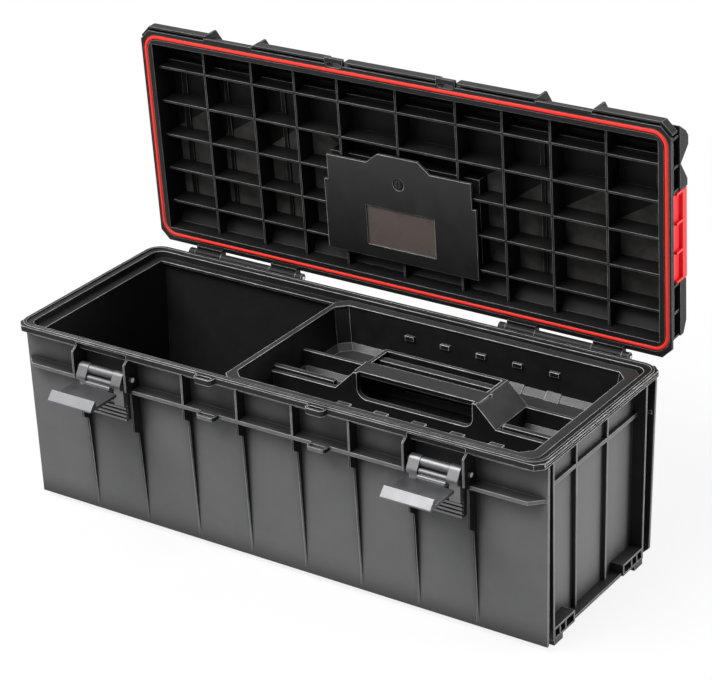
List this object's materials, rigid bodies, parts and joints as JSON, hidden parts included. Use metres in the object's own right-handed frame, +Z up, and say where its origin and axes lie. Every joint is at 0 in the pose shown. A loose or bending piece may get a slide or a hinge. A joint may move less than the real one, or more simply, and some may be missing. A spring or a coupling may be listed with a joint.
{
  "type": "tool box",
  "caption": "Long ribbed plastic tool box with a hinged sealed lid, draw latches, a lift-out tray with a moulded grip, lid end clips and a fold-down carry handle.",
  "frame": {"origin": "on the ground under the middle of the tub, on the face of the middle pad", "axes": "+X along the length to the right seen from the latches, +Y to the hinges, +Z up"},
  "size_m": [0.652, 0.3514, 0.4748],
  "materials": {
    "black_plastic": "fine grain",
    "grey_plastic": "satin",
    "red_plastic": "semi gloss",
    "red_rubber": "matt",
    "steel": "zinc plated"
  },
  "bodies": {
    "base": {"base_tub": "black_plastic", "hinge_pin_left": "steel", "hinge_pin_right": "steel", "latch_pin_left": "steel", "latch_pin_right": "steel"},
    "lid": {"lid_shell": "black_plastic", "lid_gasket": "red_rubber", "handle_cover": "black_plastic", "cover_screw": "steel", "handle_pin_left": "steel", "handle_pin_right": "steel", "end_clip_pin_left": "steel", "end_clip_pin_right": "steel"},
    "tray": {"tool_tray": "black_plastic"},
    "lever_left": {"latch_lever_left": "grey_plastic", "hook_pin_left": "steel"},
    "lever_right": {"latch_lever_right": "grey_plastic", "hook_pin_right": "steel"},
    "hook_left": {"latch_hook_left": "grey_plastic"},
    "hook_right": {"latch_hook_right": "grey_plastic"},
    "handle": {"carry_handle": "black_plastic"},
    "clip_left": {"end_clip_left": "red_plastic"},
    "clip_right": {"end_clip_right": "red_plastic"}
  },
  "joints": [
    {"name": "lid_hinge", "type": "hinge", "parent": "base", "child": "lid", "pos_m": [0, 0.132, 0.21], "axis": [-1, 0, 0], "range_deg": [-87.4, 0]},
    {"name": "tray_lift", "type": "slide", "parent": "base", "child": "tray", "axis": [0, 0, 1], "range_m": [0, 0.12]},
    {"name": "lever_left", "type": "hinge", "parent": "base", "child": "lever_left", "pos_m": [-0.2058, -0.12, 0.1835], "axis": [-1, 0, 0], "range_deg": [0, 95]},
    {"name": "hook_left", "type": "hinge", "parent": "lever_left", "child": "hook_left", "pos_m": [-0.2058, -0.126, 0.176], "axis": [1, 0, 0], "range_deg": [-90, 35]},
    {"name": "lever_right", "type": "hinge", "parent": "base", "child": "lever_right", "pos_m": [0.2058, -0.12, 0.1835], "axis": [-1, 0, 0], "range_deg": [0, 95]},
    {"name": "hook_right", "type": "hinge", "parent": "lever_right", "child": "hook_right", "pos_m": [0.2058, -0.126, 0.176], "axis": [1, 0, 0], "range_deg": [-90, 35]},
    {"name": "carry_handle", "type": "hinge", "parent": "lid", "child": "handle", "pos_m": [0, 0.1607, 0.34294], "axis": [1, 0, 0], "range_deg": [0, 95]},
    {"name": "clip_left", "type": "hinge", "parent": "lid", "child": "clip_left", "pos_m": [-0.32165, 0.1568, 0.34727], "axis": [0, 0.0454, -0.999], "range_deg": [0, 60]},
    {"name": "clip_right", "type": "hinge", "parent": "lid", "child": "clip_right", "pos_m": [0.32165, 0.1568, 0.34727], "axis": [0, -0.0454, 0.999], "range_deg": [0, 60]}
  ]
}
